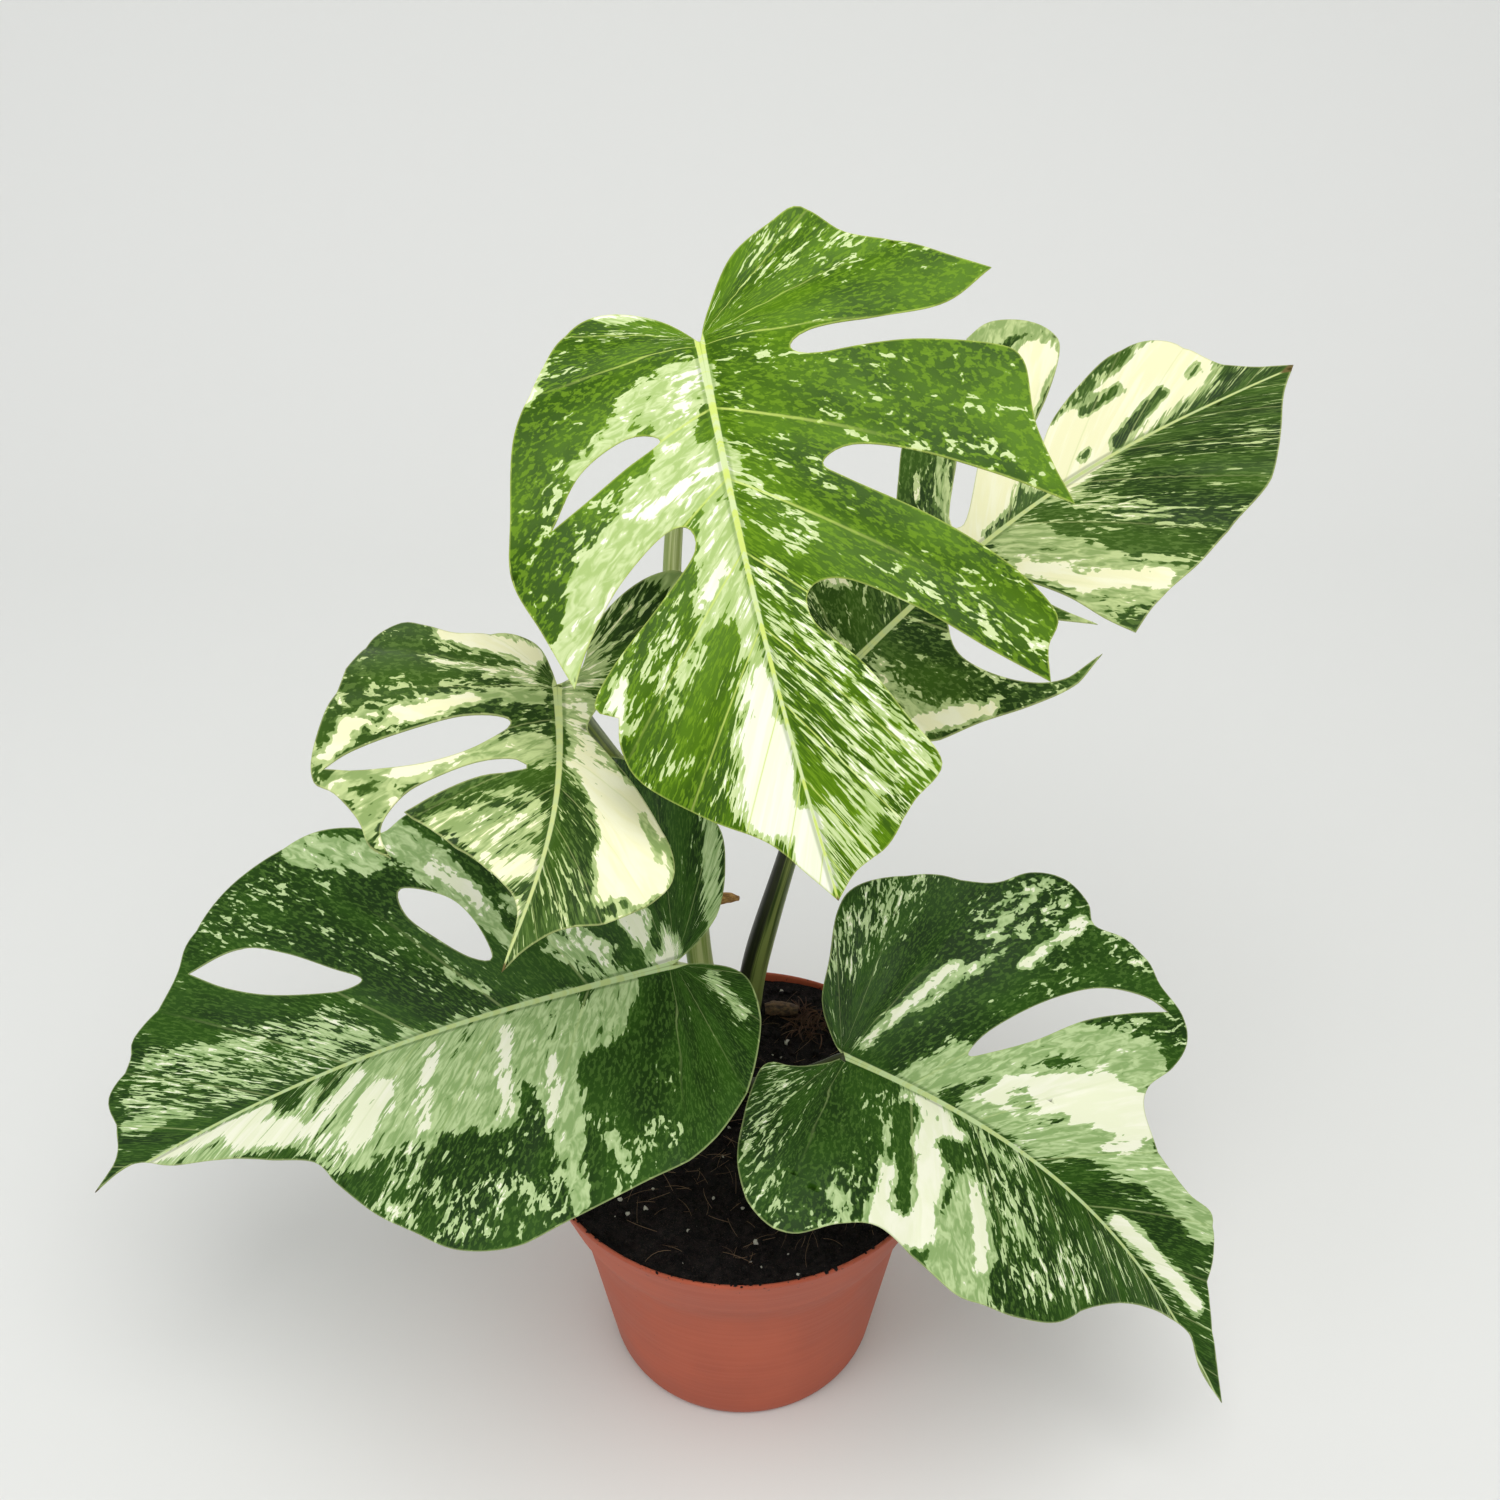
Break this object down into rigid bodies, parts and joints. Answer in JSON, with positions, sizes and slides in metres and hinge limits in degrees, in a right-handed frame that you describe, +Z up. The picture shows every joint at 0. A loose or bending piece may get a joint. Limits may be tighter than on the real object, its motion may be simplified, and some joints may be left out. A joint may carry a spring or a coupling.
{
  "type": "potted monstera plant",
  "caption": "Variegated split-leaf houseplant on one vine, its leaves on long petioles, growing in soil in a round tapered terracotta-coloured plastic nursery pot.",
  "frame": {"origin": "centre of the pot's flat base, on the surface that the pot stands on", "axes": "+Z up along the pot's axis; the plant's best side, where the leaves face, looks toward -Y; +X is to the right of someone looking at that side"},
  "size_m": [0.4047, 0.2366, 0.4352],
  "materials": {
    "terracotta_plastic": "satin",
    "potting_soil": "matte",
    "vine_green": "satin",
    "stalk_green": "satin",
    "root_brown": "matte",
    "old_bark": "matte",
    "young_leaf": "satin",
    "variegated_leaf": "satin",
    "dark_leaf": "satin"
  },
  "bodies": {
    "root": {"pot": "terracotta_plastic", "soil": "potting_soil", "main_stem": "vine_green", "petiole_top": "stalk_green", "petiole_left": "stalk_green", "petiole_low_left": "vine_green", "petiole_low_right": "stalk_green", "petiole_back": "stalk_green", "leaf_top": "young_leaf", "leaf_left": "variegated_leaf", "leaf_low_left": "dark_leaf", "leaf_low_right": "dark_leaf", "leaf_back": "variegated_leaf", "aerial_root": "root_brown", "old_stem_piece": "old_bark"}
  },
  "joints": []
}
